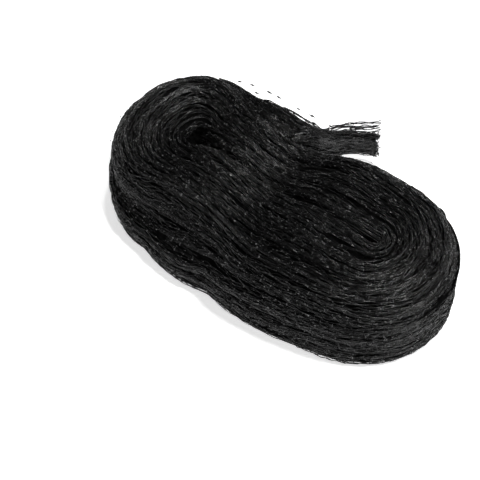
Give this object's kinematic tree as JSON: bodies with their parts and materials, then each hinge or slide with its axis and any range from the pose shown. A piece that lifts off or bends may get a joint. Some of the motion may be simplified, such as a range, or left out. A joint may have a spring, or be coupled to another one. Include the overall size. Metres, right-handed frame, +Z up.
{
  "type": "bird netting",
  "caption": "Black bird netting gathered into a bunch and wound flat into a two-lobed coil, with a short loose end of cut strands at its waist.",
  "frame": {"origin": "middle of the bounding box in X and Y, on the plane of the flat base", "axes": "+X along the coil's long way, +Y towards the side that the loose end leaves, +Z up from the flat base"},
  "size_m": [0.2726, 0.1804, 0.0589],
  "materials": {
    "net": "black polyethylene net twine, slightly glossy, lying in bunched strands"
  },
  "bodies": {
    "root": {"wound_net": "net", "loose_end": "net"}
  },
  "joints": []
}
